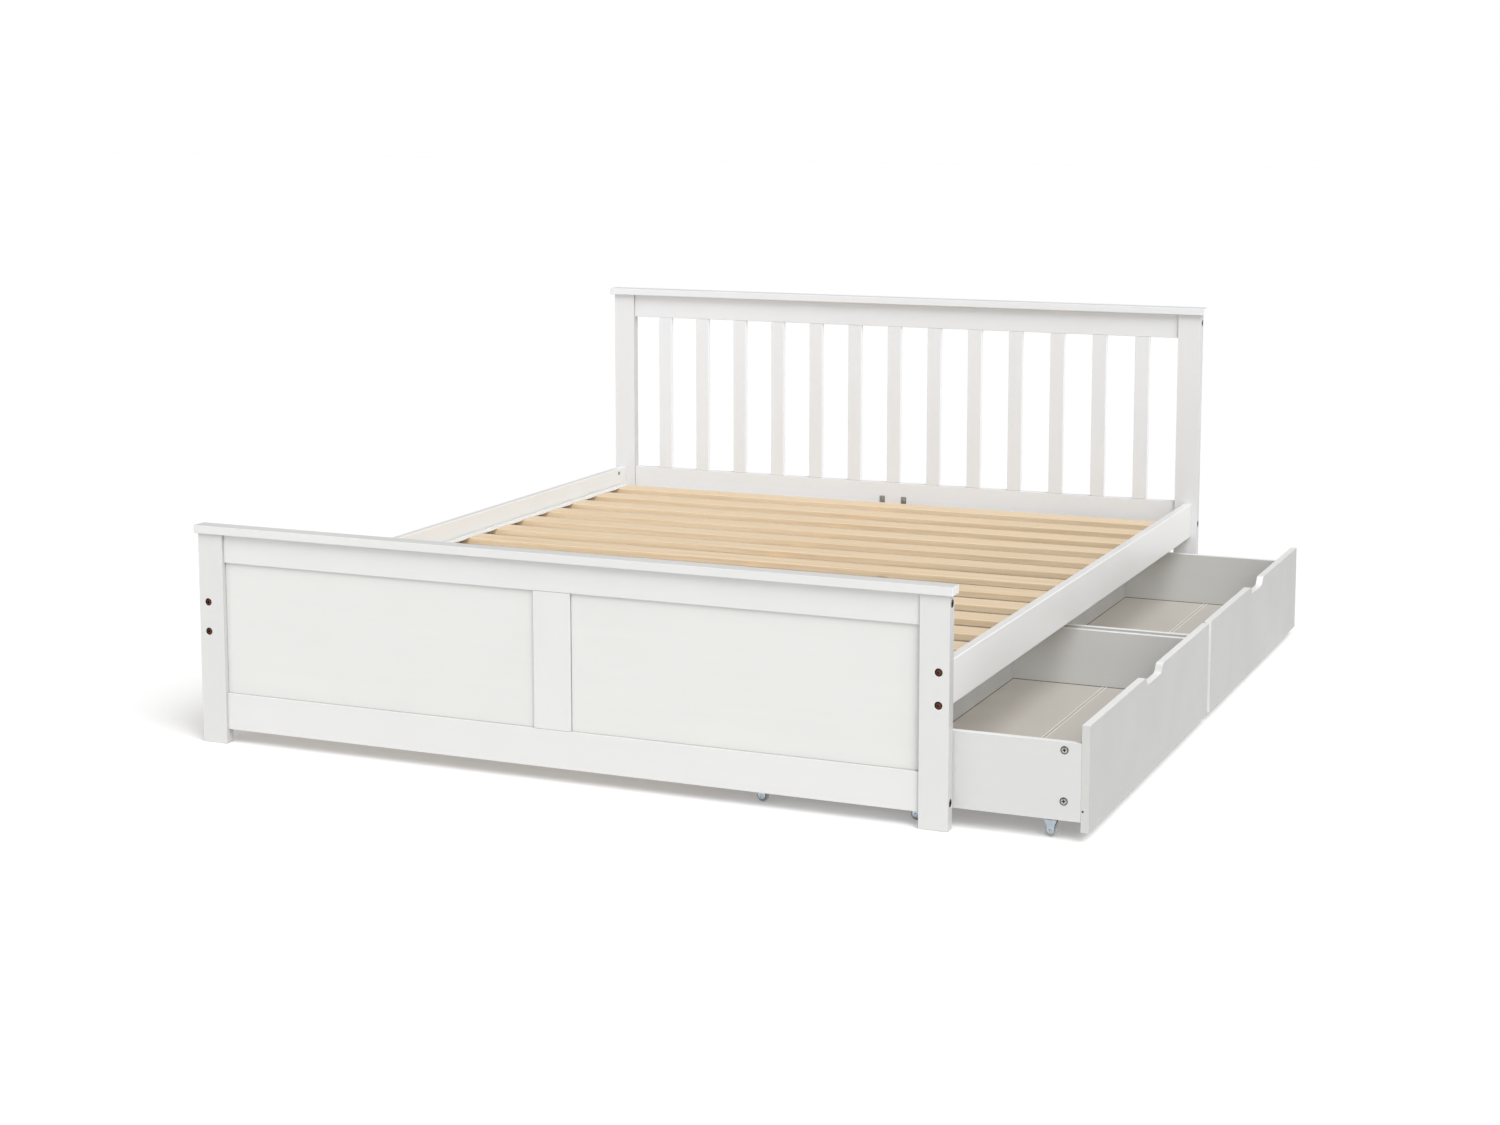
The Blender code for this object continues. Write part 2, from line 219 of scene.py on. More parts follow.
def metal(name, colour, low, high, patch=60.0):
    """Plated or blackened steel with cloudy sheen and fine scratches."""
    material, tree, shader, place = new_material(name)
    cloud = noise(tree, place, patch, 3.0, 0.6)
    scratch = noise(tree, stretched(tree, place, (1.0, 0.08, 1.0)), 1800.0, 3.0, 0.6)
    dim = tuple(c * 0.78 for c in colour)
    tree.links.new(tones(tree, cloud, (0.3, dim), (0.7, colour)), shader.inputs["Base Color"])
    tree.links.new(spread(tree, cloud, low, high), shader.inputs["Roughness"])
    shader.inputs["Metallic"].default_value = 1.0
    add_bump(tree, shader, (scratch, 0.00004, 0.4))
    return material


def nylon(name, colour, shine=0.34):
    """Moulded nylon with a slight mottle, scuffed where it rolls."""
    material, tree, shader, place = new_material(name)
    mottle = noise(tree, place, 140.0, 3.0, 0.6)
    scuff = noise(tree, place, 900.0, 4.0, 0.7)
    dim = tuple(c * 0.85 for c in colour)
    tree.links.new(tones(tree, mottle, (0.3, dim), (0.7, colour)), shader.inputs["Base Color"])
    tree.links.new(spread(tree, scuff, shine - 0.06, shine + 0.18), shader.inputs["Roughness"])
    add_bump(tree, shader, (scuff, 0.00006, 0.4))
    return material


def webbing(name, colour):
    """Woven tape: ribs across its length and threads along it."""
    material, tree, shader, place = new_material(name)
    heights = []
    for direction, scale in (("Y", 330.0), ("X", 520.0)):
        wave = tree.nodes.new("ShaderNodeTexWave")
        wave.bands_direction = direction
        wave.inputs["Scale"].default_value = scale
        wave.inputs["Distortion"].default_value = 0.4
        tree.links.new(place, wave.inputs["Vector"])
        heights.append(wave.outputs["Fac"])
    fuzz = noise(tree, place, 700.0, 3.0, 0.6)
    dim = tuple(c * 0.72 for c in colour)
    ribs = tones(tree, heights[0], (0.1, dim), (0.7, colour))
    threads = tones(tree, fuzz, (0.3, dim), (0.7, colour))
    tree.links.new(mixed(tree, 0.5, ribs, threads), shader.inputs["Base Color"])
    tree.links.new(spread(tree, fuzz, 0.70, 0.88), shader.inputs["Roughness"])
    shader.inputs["Sheen Weight"].default_value = 0.25
    add_bump(tree, shader, (heights[0], 0.0004, 0.6), (heights[1], 0.0002, 0.4))
    return material


# One white paint on every board, given a different tone on each. The differences are painted light and shade,
# set so that each board reads as lit or shaded as it should, with the drawer fronts the most shaded. The
# headboard's slight blue is painted to cancel the warm light that the pine slats throw on it.
RAIL_WHITE, POST_WHITE = (0.632, 0.630, 0.623), (0.592, 0.591, 0.586)
HEAD_WHITE, HEAD_POST_WHITE, SIDE_WHITE = (0.755, 0.766, 0.783), (0.725, 0.731, 0.742), (0.715, 0.712, 0.701)
EDGE_LIT_WHITE, POST_SIDE_SHADE, HEAD_POST_SIDE = (0.75, 0.75, 0.74), (0.485, 0.484, 0.479), (0.52, 0.52, 0.52)
PANEL_WHITE, BOARD_WHITE = (0.628, 0.632, 0.612), (0.556, 0.556, 0.545)
FRONT_SHADED_TONE, FRONT_END_SHADE = (0.360, 0.359, 0.348), (0.50, 0.50, 0.485)
PAINT = {axis: painted_wood("paint_grain_" + axis, RAIL_WHITE, axis) for axis in "xz"}
# The posts take a darker tone on their sides and tops than on their fronts and backs: painted shade.
POST_PAINT = painted_wood("post_paint", POST_WHITE, "z", edge_shading=POST_SIDE_SHADE, face="y")
HEAD_POST_PAINT = painted_wood("head_post_paint", HEAD_POST_WHITE, "z", edge_shading=HEAD_POST_SIDE, face="y")
HEAD_PAINT = {axis: painted_wood("head_paint_" + axis, HEAD_WHITE, axis) for axis in "xz"}
SIDE_PAINT = painted_wood("side_rail_paint", SIDE_WHITE, "y")
PANEL = painted_wood("paint_panel", PANEL_WHITE, "x", 0.12, 0.36)
# The drawer boards take a lighter tone on their edges and ends than on their faces: painted light.
BOARD = {
    axis: painted_wood("board_paint_" + axis, BOARD_WHITE, axis, 0.16, 0.38, EDGE_LIT_WHITE, face)
    for axis, face in (("x", "y"), ("y", "x"))}
# The drawer fronts take a shaded tone with lighter edges: painted shade and painted light. The foot drawer's
# front ends take a middle tone, which is painted shade. The head drawer's front ends keep the light edge
# tone, a painted highlight in the gap between the fronts.
FRONT = {
    drawer: painted_wood(drawer + "_front_paint", FRONT_SHADED_TONE, "y", 0.14, 0.36, EDGE_LIT_WHITE, "x", end)
    for drawer, end in zip(DRAWERS, (FRONT_END_SHADE, None))}
FIBRE = hardboard("hardboard", (0.497, 0.473, 0.434))
PINE = bare_pine("pine_slat", "x", (0.72, 0.58, 0.41), (0.56, 0.39, 0.22))
PINE_LONG = bare_pine("pine_batten", "y", (0.69, 0.55, 0.38), (0.53, 0.37, 0.21))
ZINC = metal("zinc_plate", (0.48, 0.54, 0.60), 0.16, 0.30)
NICKEL = metal("nickel_fitting", (0.52, 0.51, 0.48), 0.18, 0.32, 200.0)
BRONZE = metal("bronze_bolt", (0.150, 0.058, 0.042), 0.18, 0.30, 200.0)
# Near black, for the bore linings, the cups round the cam discs and the discs at the front ends: painted
# shade in these hollows.
SOCKET = metal("socket_shade", (0.02, 0.017, 0.016), 0.35, 0.5, 200.0)
WHEEL = nylon("castor_nylon", (0.42, 0.43, 0.43))
STRIP = nylon("joint_strip", (0.76, 0.75, 0.71), 0.42)
# The web between the joint strip's lips takes a darker tone: painted shade in the groove between them.
WEB_SHADE = nylon("joint_strip_web", (0.46, 0.44, 0.40), 0.5)
# The two shade materials below are built with the nylon maker but stand for no nylon: they colour the painted
# shadow strips in the gaps and joints.
SHADE = nylon("groove_shade", (0.16, 0.145, 0.125), 0.6)
FAINT_SHADE = nylon("panel_line_shade", (0.36, 0.36, 0.34), 0.6)
TAPE = webbing("webbing_tape", (0.80, 0.79, 0.75))


# ---- mesh tools ------------------------------------------------------------------------
def placed(name, mesh, matrix, material, body, replaced=()):
    """A piece that rides on a body and stands where the matrix says; it may share its mesh with its twins."""
    if not mesh.materials:
        mesh.materials.append(material)
    obj = bpy.data.objects.new(name, mesh)
    bpy.context.scene.collection.objects.link(obj)
    obj.matrix_world = matrix
    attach(obj, body)
    if replaced:
        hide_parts(*replaced)
    return obj


def add_piece(name, mesh, material, body, replaced=()):
    """A piece with a mesh of its own, built where it belongs."""
    mesh.materials.clear()
    return placed(name, mesh, Matrix.Identity(4), material, body, replaced)


WELD_REACH, EASE_ANGLE, SMOOTH_ANGLE = 0.00005, 40, 40


def soften(obj, width, segments=3):
    """Eases the edges of a board the way sandpaper does."""
    weld = obj.modifiers.new("weld", "WELD")
    weld.merge_threshold = WELD_REACH
    bevel = obj.modifiers.new("eased_edges", "BEVEL")
    bevel.width = width
    bevel.segments = segments
    bevel.limit_method = "ANGLE"
    bevel.angle_limit = math.radians(EASE_ANGLE)
    bevel.use_clamp_overlap = True


def mesh_of(work, name, smooth_under=None):
    """Turns a bmesh into a mesh, smooth across edges below an angle in degrees if one is given."""
    bmesh.ops.recalc_face_normals(work, faces=work.faces)
    mesh = bpy.data.meshes.new(name)
    work.to_mesh(mesh)
    work.free()
    if smooth_under is not None:
        for polygon in mesh.polygons:
            polygon.use_smooth = True
        mesh.set_sharp_from_angle(angle=math.radians(smooth_under))
    return mesh


def box_into(work, low, high, bevel=0.0, segments=2):
    """Adds a block between two corners, with eased edges if asked."""
    made = bmesh.ops.create_cube(work, size=1.0)
    low, high = Vector(low), Vector(high)
    size = high - low
    bmesh.ops.scale(work, vec=size, verts=made["verts"])
    bmesh.ops.translate(work, vec=(low + high) / 2, verts=made["verts"])
    if bevel:
        edges = list({edge for vert in made["verts"] for edge in vert.link_edges})
        bmesh.ops.bevel(work, geom=edges, offset=bevel, segments=segments, affect="EDGES", profile=0.5)


def box_mesh(name, low, high, bevel=0.0, segments=2):
    """One block as a mesh."""
    work = bmesh.new()
    box_into(work, low, high, bevel, segments)
    return mesh_of(work, name)


def turned_into(work, profile, steps=32):
    """Adds a closed shape turned about Z from (radius, height) points, the ends on the axis."""
    rings = []
    for radius, height in profile:
        if radius < 1e-9:
            rings.append([work.verts.new((0.0, 0.0, height))])
            continue
        angles = [2 * math.pi * i / steps for i in range(steps)]
        rings.append([work.verts.new((radius * math.cos(a), radius * math.sin(a), height)) for a in angles])
    for lower, upper in zip(rings, rings[1:]):
        for i in range(steps):
            j = (i + 1) % steps
            corners = [ring[k % len(ring)] for ring, k in ((lower, i), (lower, j), (upper, j), (upper, i))]
            unique = list(dict.fromkeys(corners))
            if len(unique) > 2:
                work.faces.new(unique)


def turned_mesh(name, profile, steps=32, smooth_under=SMOOTH_ANGLE):
    """One turned shape as a mesh."""
    work = bmesh.new()
    turned_into(work, profile, steps)
    return mesh_of(work, name, smooth_under)


def extruded_mesh(name, outline, low, high):
    """A closed outline in X and Y, extruded from low to high along Z."""
    work = bmesh.new()
    bottom = [work.verts.new((x, y, low)) for x, y in outline]
    top = [work.verts.new((x, y, high)) for x, y in outline]
    work.faces.new(bottom)
    work.faces.new(list(reversed(top)))
    for i in range(len(outline)):
        j = (i + 1) % len(outline)
        work.faces.new([bottom[i], top[i], top[j], bottom[j]])
    return mesh_of(work, name)


def loose(name, mesh, matrix=None):
    """A temporary object for the boolean cuts."""
    obj = bpy.data.objects.new(name, mesh)
    obj.matrix_world = matrix or Matrix.Identity(4)
    bpy.context.scene.collection.objects.link(obj)
    return obj


def carved(mesh, cutters):
    """The mesh with each cutter, a (mesh, matrix) pair, taken out of it."""
    body = loose("carving", mesh)
    tools = []
    for cutter, matrix in cutters:
        tool = loose("cutter", cutter, matrix)
        tools.append(tool)
        cut = body.modifiers.new("cut", "BOOLEAN")
        cut.operation = "DIFFERENCE"
        cut.solver = "EXACT"
        cut.object = tool
    bpy.context.view_layer.update()
    evaluated = body.evaluated_get(bpy.context.evaluated_depsgraph_get())
    result = bpy.data.meshes.new_from_object(evaluated)
    for obj in (body, *tools):
        bpy.data.objects.remove(obj, do_unlink=True)
    return result


def facing(point, direction):
    """A matrix that carries +Z at the origin to a direction at a point."""
    turn = Vector(direction).to_track_quat("Z", "Y").to_matrix().to_4x4()
    return Matrix.Translation(point) @ turn


# ---- boards kept from the CAD ----------------------------------------------------------
def dress(node, material, edge, segments=3):
    """Gives a CAD board its material and eased edges."""
    obj = NODES[node]
    obj.data.materials.clear()
    obj.data.materials.append(material)
    soften(obj, edge, segments)


CAP_EASE, RAIL_EASE, HEAD_SLAT_EASE, STILE_EASE = 0.0014, 0.0012, 0.0014, 0.0010
PANEL_EASE, SIDE_RAIL_EASE, LEDGE_EASE, BEAM_EASE = 0.0006, 0.0020, 0.0016, 0.0018
FRONT_EASE, WALL_EASE, BASE_EASE = 0.0010, 0.0008, 0.0004
HEAD_SLATS = 13


def dress_cad_boards():
    """Paint and eased edges for every board that the visual model keeps from the CAD."""
    for end, paint in (("headboard", HEAD_PAINT), ("footboard", PAINT)):
        dress(end + "_cap", paint["x"], CAP_EASE)
        dress(end + "_upper_rail", paint["x"], RAIL_EASE)
        dress(end + "_lower_rail", paint["x"], RAIL_EASE)
    for number in range(1, HEAD_SLATS + 1):
        dress(f"headboard_slat_{number:02d}", HEAD_PAINT["z"], HEAD_SLAT_EASE)
    dress("footboard_stile", PAINT["z"], STILE_EASE)
    for side in ("left", "right"):
        dress("footboard_panel_" + side, PANEL, PANEL_EASE, 2)
        dress("side_rail_" + side, SIDE_PAINT, SIDE_RAIL_EASE)
        dress("slat_ledge_" + side, PINE_LONG, LEDGE_EASE)
    dress("centre_support", PINE_LONG, BEAM_EASE)
    for drawer in DRAWERS:
        dress(drawer + "_front", FRONT[drawer], FRONT_EASE)
        dress(drawer + "_side_near", BOARD["x"], WALL_EASE)
        dress(drawer + "_side_far", BOARD["x"], WALL_EASE)
        dress(drawer + "_divider", BOARD["y"], WALL_EASE)
        dress(drawer + "_back", BOARD["y"], WALL_EASE)
        dress(drawer + "_base", FIBRE, BASE_EASE, 1)


# ---- posts with counterbored bolts -----------------------------------------------------
BORE_R, BORE_DEPTH, BORE_LIP = 0.0080, 0.0058, 0.0007
HEAD_R, HEAD_T, SOCKET_R, SOCKET_DEPTH = 0.0070, 0.0042, 0.0038, 0.0032
SLEEVE_T, SLEEVE_FLOOR_T, SLEEVE_SLACK = 0.0005, 0.0004, 0.00005
POST_EASE = 0.0014
RAIL_BOLT_X, RAIL_BOLT_Z = 0.838, (0.3125, 0.2475)
END_BOLT_DEPTH = 0.015
FOOT_END_BOLT_Z, HEAD_END_BOLT_Z = (0.446, 0.0535), (0.807, 0.270)


def bolt_mesh():
    """A domed bolt head with a hexagon socket, its underside at z 0."""
    head = turned_mesh("bolt_head", [
        (0.0, 0.0), (HEAD_R, 0.0), (HEAD_R, HEAD_T * 0.55), (HEAD_R * 0.96, HEAD_T * 0.78),
        (HEAD_R * 0.84, HEAD_T * 0.95), (HEAD_R * 0.70, HEAD_T), (0.0, HEAD_T)], 40)
    turns = [math.radians(60 * i) for i in range(6)]
    hexagon = [(SOCKET_R * math.cos(turn), SOCKET_R * math.sin(turn)) for turn in turns]
    tool = extruded_mesh("hex_tool", hexagon, HEAD_T - SOCKET_DEPTH, HEAD_T * 2)
    mesh = carved(head, [(tool, Matrix.Identity(4))])
    mesh.name = "bolt_head"
    return mesh


def sleeve_mesh():
    """The cup that lines a counterbore, near black: painted shade inside the bore; its floor at z 0."""
    outer, inner, deep = BORE_R - SLEEVE_SLACK, BORE_R - SLEEVE_T, BORE_DEPTH - BORE_LIP
    return turned_mesh("bolt_sleeve", [
        (0.0, 0.0), (outer, 0.0), (outer, deep),
        (inner, deep), (inner, SLEEVE_FLOOR_T), (0.0, SLEEVE_FLOOR_T)], 40)


def post_bolts(end, sign):
    """(point on the post's surface, outward direction) of each bolt of one post."""
    low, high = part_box(f"{end}_post_{'right' if sign > 0 else 'left'}")
    outer_x = high.x if sign > 0 else low.x
    if end == "footboard":
        face_y, out_y, levels = low.y, -1, FOOT_END_BOLT_Z
    else:
        face_y, out_y, levels = high.y, 1, HEAD_END_BOLT_Z
    bolts = [(Vector((sign * RAIL_BOLT_X, face_y, z)), Vector((0, out_y, 0))) for z in RAIL_BOLT_Z]
    bolts += [(Vector((outer_x, low.y + END_BOLT_DEPTH, z)), Vector((sign, 0, 0))) for z in levels]
    return bolts


def build_posts():
    """The posts, bored for their bolts, with a sleeve and a bolt head in each bore."""
    head, sleeve = bolt_mesh(), sleeve_mesh()
    bore = turned_mesh("bore_tool", [
        (0.0, -BORE_DEPTH), (BORE_R, -BORE_DEPTH), (BORE_R, -BORE_LIP), (BORE_R + BORE_LIP, 0.0002),
        (BORE_R + BORE_LIP, 0.01), (0.0, 0.01)], 48)
    for end, paint in (("headboard", HEAD_POST_PAINT), ("footboard", POST_PAINT)):
        for side, sign in (("left", -1), ("right", 1)):
            node = f"{end}_post_{side}"
            low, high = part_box(node)
            bolts = post_bolts(end, sign)
            mesh = carved(box_mesh(node, low, high), [(bore, facing(p, d)) for p, d in bolts])
            post = add_piece(node + "_board", mesh, paint, "frame", (node,))
            soften(post, POST_EASE)
            for number, (point, direction) in enumerate(bolts, 1):
                floor = point - direction * (BORE_DEPTH - 0.0001)
                seat = floor + direction * 0.0006
                name = f"{node}_bolt_{number}"
                placed(name, head, facing(seat, direction), BRONZE, "frame")
                # The sleeve's near-black finish is painted shade inside the bore.
                placed(name + "_sleeve", sleeve, facing(floor, direction), SOCKET, "frame")


# ---- slatted base ----------------------------------------------------------------------
SLAT_COUNT, SLAT_W, SLAT_EASE = 14, 0.070, 0.0025
TAPE_X, TAPE_W, TAPE_T, TAPE_LIFT = 0.8095, 0.025, 0.0012, 0.0015
TAPE_REST, TAPE_SAG, TAPE_STEPS = 0.002, 0.0012, 6
STAPLE_HALF_L, STAPLE_HALF_W, STAPLE_T = 0.005, 0.0006, 0.0004


def tape_stations(starts, gap):
    """(Y, share of the sag) along a tape that lies on each slat and dips a little between them."""
    stations = []
    for number, start in enumerate(starts):
        end = start + SLAT_W - TAPE_REST
        stations += [(start + TAPE_REST, 0.0), (end, 0.0)]
        if number < SLAT_COUNT - 1:
            for step in range(1, TAPE_STEPS):
                stations.append((end + gap * step / TAPE_STEPS, math.sin(math.pi * step / TAPE_STEPS)))
    return stations


def tape_mesh(stations, middle_x, top_z):
    """A flat tape swept through its stations, closed at both ends."""
    work = bmesh.new()
    rows = []
    for y, sag in stations:
        top = top_z - TAPE_SAG * sag
        corners = [(-1, top), (1, top), (1, top - TAPE_T), (-1, top - TAPE_T)]
        rows.append([work.verts.new((middle_x + edge * TAPE_W / 2, y, z)) for edge, z in corners])
    for here, there in zip(rows, rows[1:]):
        for i in range(4):
            j = (i + 1) % 4
            work.faces.new([here[i], here[j], there[j], there[i]])
    work.faces.new(rows[0])
    work.faces.new(list(reversed(rows[-1])))
    return mesh_of(work, "slat_tape")


def build_slats():
    """The loose slats, the two tapes along their ends, and the staples that hold the tapes."""
    low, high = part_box("bed_slats")
    pitch = (high.y - low.y - SLAT_W) / (SLAT_COUNT - 1)
    starts = [low.y + number * pitch for number in range(SLAT_COUNT)]
    slat_top = high.z - TAPE_LIFT
    for number, start in enumerate(starts, 1):
        far = (high.x, start + SLAT_W, slat_top)
        mesh = box_mesh(f"slat_{number:02d}", (low.x, start, low.z), far, SLAT_EASE, 3)
        add_piece(f"bed_slat_{number:02d}", mesh, PINE, "frame", ("bed_slats",))
    stations = tape_stations(starts, pitch - SLAT_W + 2 * TAPE_REST)
    staples = bmesh.new()
    for side, x in (("left", -TAPE_X), ("right", TAPE_X)):
        tape = tape_mesh(stations, x, high.z)
        add_piece(f"slat_tape_{side}", tape, TAPE, "frame", ("bed_slats",))
        for start in starts:
            for share in (0.25, 0.75):
                y = start + SLAT_W * share
                near = (x - STAPLE_HALF_L, y - STAPLE_HALF_W, high.z - STAPLE_T)
                box_into(staples, near, (x + STAPLE_HALF_L, y + STAPLE_HALF_W, high.z), 0.0002, 1)
    add_piece("slat_staples", mesh_of(staples, "slat_staples"), ZINC, "frame", ("bed_slats",))


# ---- fittings --------------------------------------------------------------------------
def cross_tool(name, reach, half, low, high):
    """A cutter in the shape of a cross slot: arms of a length and a half width."""
    outline = []
    for dx, dy in ((1, 0), (0, 1), (-1, 0), (0, -1)):
        arm, side = Vector((dx, dy)), Vector((-dy, dx)) * half
        outline += [arm * reach - side, arm * reach + side, arm * half + side]
    return extruded_mesh(name, [tuple(p) for p in outline], low, high)


CAM_R, CAM_DISC_R = 0.0078, 0.0061


def cam_disc_mesh():
    """The turning disc of a cam fitting, with a cross cut right through it."""
    disc = turned_mesh("cam_disc", [
        (0.0, 0.0002), (CAM_DISC_R, 0.0002), (CAM_DISC_R, 0.0007),
        (CAM_DISC_R * 0.92, 0.0010), (0.0, 0.0010)], 40)
    tool = cross_tool("cross_tool", 0.0036, 0.0010, -0.001, 0.01)
    mesh = carved(disc, [(tool, Matrix.Rotation(math.radians(8), 4, "Z"))])
    mesh.name = "cam_disc"
    return mesh


def cam_cup_mesh():
    """The near-black cup round the disc, with a thin raised rim: painted shade in the ring round the disc and
    through its cross cut.
    """
    return turned_mesh("cam_cup", [
        (0.0, -0.0004), (CAM_R, -0.0004), (CAM_R, 0.0005), (CAM_R - 0.0004, 0.0008),
        (CAM_R - 0.0008, 0.0005), (CAM_R - 0.0008, 0.0001), (0.0, 0.0001)], 40)


def screw_mesh(name, radius):
    """A countersunk screw head, flush, with a cross slot."""
    disc = turned_mesh(name, [
        (0.0, -0.0004), (radius, -0.0004), (radius, 0.0002), (radius * 0.9, 0.00035), (0.0, 0.0005)], 28)
    tool = cross_tool("cross_tool_small", radius * 0.55, radius * 0.13, -0.0002, 0.01)
    mesh = carved(disc, [(tool, Matrix.Identity(4))])
    mesh.name = name
    return mesh


CAM_IN_FROM_FRONT, CAM_Z = 0.0335, (0.179, 0.079)
SCREW_R, SCREW_Z = 0.0038, (0.165, 0.090)
HOLE_R, HOLE_IN, HOLE_Z = 0.0021, 0.0038, 0.063


def build_drawer_fittings():
    """Cam fittings and screws in the drawer sides, and a near-black disc at each end of the front, painted
    shade standing in for a small hole.
    """
    disc, cup = cam_disc_mesh(), cam_cup_mesh()
    screw = screw_mesh("drawer_screw", SCREW_R)
    hole_profile = [(0.0, -0.0002), (HOLE_R, -0.0002), (HOLE_R, 0.0001), (0.0, 0.0001)]
    hole_shade = turned_mesh("front_end_hole", hole_profile, 20)
    for drawer in DRAWERS:
        front_low, front_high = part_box(drawer + "_front")
        for side, out in (("near", -1), ("far", 1)):
            low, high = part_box(f"{drawer}_side_{side}")
            face_y = low.y if out < 0 else high.y
            direction = (0, out, 0)
            for number, z in enumerate(CAM_Z, 1):
                point = (front_low.x - CAM_IN_FROM_FRONT, face_y, z)
                name = f"{drawer}_cam_{side}_{number}"
                placed(name, disc, facing(point, direction), NICKEL, drawer)
                placed(name + "_cup", cup, facing(point, direction), SOCKET, drawer)
            for wall in ("divider", "back"):
                wall_low, wall_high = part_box(f"{drawer}_{wall}")
                for number, z in enumerate(SCREW_Z, 1):
                    point = ((wall_low.x + wall_high.x) / 2, face_y, z)
                    name = f"{drawer}_{wall}_screw_{side}_{number}"
                    placed(name, screw, facing(point, direction), NICKEL, drawer)
            end_y = front_low.y if out < 0 else front_high.y
            hole = facing((front_low.x + HOLE_IN, end_y, HOLE_Z), direction)
            placed(f"{drawer}_front_hole_{side}", hole_shade, hole, SOCKET, drawer)


STRIP_HALF_W, STRIP_RISE, STRIP_LIP = 0.0050, 0.0012, 0.0019
STRIP_WEB_T, STRIP_END_GAP = 0.0003, 0.0004


def build_joint_strips():
    """The moulded strip that joins the two halves of the front compartment's base."""
    for drawer in DRAWERS:
        low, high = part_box(drawer + "_base")
        _, divider_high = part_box(drawer + "_divider")
        front_low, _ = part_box(drawer + "_front")
        middle = (divider_high.x + front_low.x) / 2
        y_low, y_high = low.y + STRIP_END_GAP, high.y - STRIP_END_GAP
        lips = bmesh.new()
        for sign in (-1, 1):
            x_low, x_high = sorted((middle + sign * STRIP_HALF_W, middle + sign * (STRIP_HALF_W - STRIP_LIP)))
            box_into(lips, (x_low, y_low, high.z), (x_high, y_high, high.z + STRIP_RISE), 0.0004)
        add_piece(drawer + "_joint_strip", mesh_of(lips, "joint_strip"), STRIP, drawer)
        # The web's darker tone is painted shade in the groove between the lips.
        inner = STRIP_HALF_W - STRIP_LIP
        web_top = high.z + STRIP_WEB_T
        web = box_mesh("strip_web", (middle - inner, y_low, high.z), (middle + inner, y_high, web_top))
        add_piece(drawer + "_strip_web", web, WEB_SHADE, drawer)


# Size of the dark strips painted as shadow in the gap where each base meets its walls.
GROOVE_SHADOW_W, GROOVE_SHADOW_RISE = 0.0005, 0.0015


def frame_strips(work, low, high, width, rise):
    """Four thin strips laid round the inside edge of a rectangle."""
    (x0, y0), (x1, y1), z = (low.x, low.y), (high.x, high.y), high.z
    for corner, opposite in (
            ((x0, y0), (x1, y0 + width)), ((x0, y1 - width), (x1, y1)),
            ((x0, y0 + width), (x0 + width, y1 - width)), ((x1 - width, y0 + width), (x1, y1 - width))):
        box_into(work, (*corner, z), (*opposite, z + rise))


def build_groove_shadows():
    """Dark strips at the foot of the walls, painted shadow in the gap where each compartment's base runs into
    its grooves.
    """
    for drawer in DRAWERS:
        low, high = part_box(drawer + "_base")
        divider_low, divider_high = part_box(drawer + "_divider")
        _, back_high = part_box(drawer + "_back")
        work = bmesh.new()
        front_part = (Vector((divider_high.x, low.y, low.z)), high)
        rear_part = (Vector((back_high.x, low.y, low.z)), Vector((divider_low.x, high.y, high.z)))
        for corner, opposite in (front_part, rear_part):
            frame_strips(work, corner, opposite, GROOVE_SHADOW_W, GROOVE_SHADOW_RISE)
        add_piece(drawer + "_base_groove_shadow", mesh_of(work, "base_groove_shadow"), SHADE, drawer)


# Sizes of the painted shadow strips in the footboard's joints.
PANEL_LINE_W, SEAM_W, SEAM_RISE = 0.0008, 0.0013, 0.0002
SEAM_INSET, SEAM_DEPTH, SEAM_BOTTOM, SEAM_END_GAP = 0.0002, 0.0004, 0.003, 0.001


def build_footboard_seam_shadows():
    """Strips in the joints round the footboard's panels and beside its middle board, painted shadow: dark
    along the middle board's right side and across its ends, faint round the rest of the panels.
    """
    upper_low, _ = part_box("footboard_upper_rail")
    _, lower_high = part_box("footboard_lower_rail")
    stile_low, stile_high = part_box("footboard_stile")
    _, left_post_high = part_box("footboard_post_left")
    right_post_low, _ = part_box("footboard_post_right")
    seam_shadows, line_shadows = bmesh.new(), bmesh.new()
    for side, sign, inner_x, outer_x, target in (
            ("left", -1, stile_low.x, left_post_high.x, line_shadows),
            ("right", 1, stile_high.x, right_post_low.x, seam_shadows)):
        panel_low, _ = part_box("footboard_panel_" + side)
        front = panel_low.y
        x_low, x_high = sorted((inner_x + sign * SEAM_INSET, inner_x + sign * SEAM_W))
        box_into(target, (x_low, front - SEAM_RISE, lower_high.z), (x_high, front, upper_low.z))
        x_low, x_high = sorted((outer_x, outer_x - sign * PANEL_LINE_W))
        box_into(line_shadows, (x_low, front - SEAM_RISE, lower_high.z), (x_high, front, upper_low.z))
        x_low, x_high = sorted((outer_x, inner_x))
        for z_low in (lower_high.z, upper_low.z - PANEL_LINE_W):
            box_into(line_shadows, (x_low, front - SEAM_RISE, z_low), (x_high, front, z_low + PANEL_LINE_W))
    for z in (lower_high.z, upper_low.z):
        near = (stile_low.x + SEAM_END_GAP, stile_low.y + SEAM_DEPTH, z - SEAM_W / 2)
        far = (stile_high.x - SEAM_END_GAP, stile_low.y + SEAM_BOTTOM, z + SEAM_W / 2)
        box_into(seam_shadows, near, far)
    add_piece("footboard_stile_seams", mesh_of(seam_shadows, "stile_seams"), SHADE, "frame")
    add_piece("footboard_panel_lines", mesh_of(line_shadows, "panel_lines"), FAINT_SHADE, "frame")


